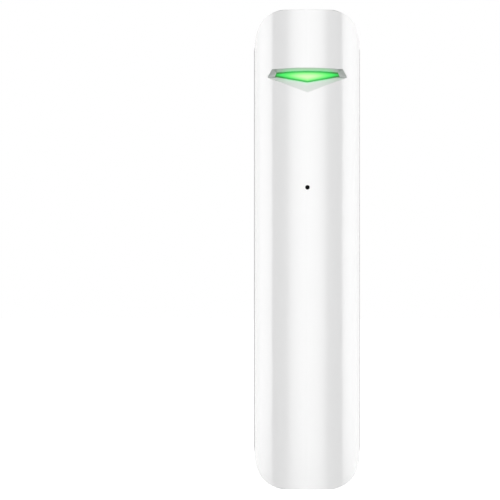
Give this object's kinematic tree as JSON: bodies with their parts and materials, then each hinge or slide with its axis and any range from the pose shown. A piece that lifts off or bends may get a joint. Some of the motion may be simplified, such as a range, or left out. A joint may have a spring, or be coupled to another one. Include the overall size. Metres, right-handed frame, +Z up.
{
  "type": "glass break sensor",
  "caption": "Slim upright wireless glass break sensor: a white case with a green V-shaped light window and a sound hole, hooked on a grey wall bracket.",
  "frame": {"origin": "middle point between the two wall screw holes, in the plane of the wall (the bracket's back face)", "axes": "+Y towards the wall (the front with the light window faces -Y), +Z up along the case, +X to the right seen from the front"},
  "size_m": [0.02, 0.0192, 0.09],
  "materials": {
    "cover_white": "glossy white",
    "case_grey": "satin light grey",
    "bracket_grey": "satin light grey",
    "guide_green": "clear guide, lit green",
    "label_white": "smooth film",
    "board_green": "solder mask",
    "screw_steel": "zinc plated",
    "battery_sleeve": "printed sleeve on a steel can",
    "contact_nickel": "nickel plated",
    "switch_black": "moulded",
    "plunger_black": "moulded",
    "button_grey": "moulded",
    "socket_grey": "moulded",
    "contact_copper": "bare copper alloy",
    "microphone_can": "drawn can",
    "boot_rubber": "moulded rubber",
    "lamp_clear": "clear lens",
    "shield_tin": "tin plated",
    "chip_black": "moulded",
    "capacitor_tan": "ceramic"
  },
  "bodies": {
    "bracket": {"wall_bracket": "bracket_grey"},
    "case": {"front_cover": "cover_white", "rear_cover": "case_grey", "light_guide": "guide_green", "back_label": "label_white", "main_board": "board_green", "board_screws": "screw_steel", "battery": "battery_sleeve", "positive_contact": "contact_nickel", "negative_contact": "contact_nickel", "negative_spring": "contact_nickel", "tamper_switch": "switch_black", "power_switch": "switch_black", "terminal_socket": "socket_grey", "terminal_contacts": "contact_copper", "microphone": "microphone_can", "microphone_boot": "boot_rubber", "status_lamp": "lamp_clear", "radio_shield": "shield_tin", "controller_chip": "chip_black", "clock_crystal": "shield_tin", "amplifier_chip": "chip_black", "capacitors": "capacitor_tan", "antenna": "contact_nickel"},
    "tamper": {"tamper_plunger": "plunger_black"},
    "power": {"power_button": "button_grey"}
  },
  "joints": [
    {"name": "bracket_slide", "type": "slide", "parent": "bracket", "child": "case", "axis": [0, 0, 1], "range_m": [0, 0.005]},
    {"name": "tamper_press", "type": "slide", "parent": "case", "child": "tamper", "axis": [0, -1, 0], "range_m": [0, 0.0005], "stiffness_N_per_m": 300, "springref_m": -0.0005},
    {"name": "power_press", "type": "slide", "parent": "case", "child": "power", "axis": [0, -1, 0], "range_m": [0, 0.0004], "stiffness_N_per_m": 600, "springref_m": -0.0005}
  ]
}
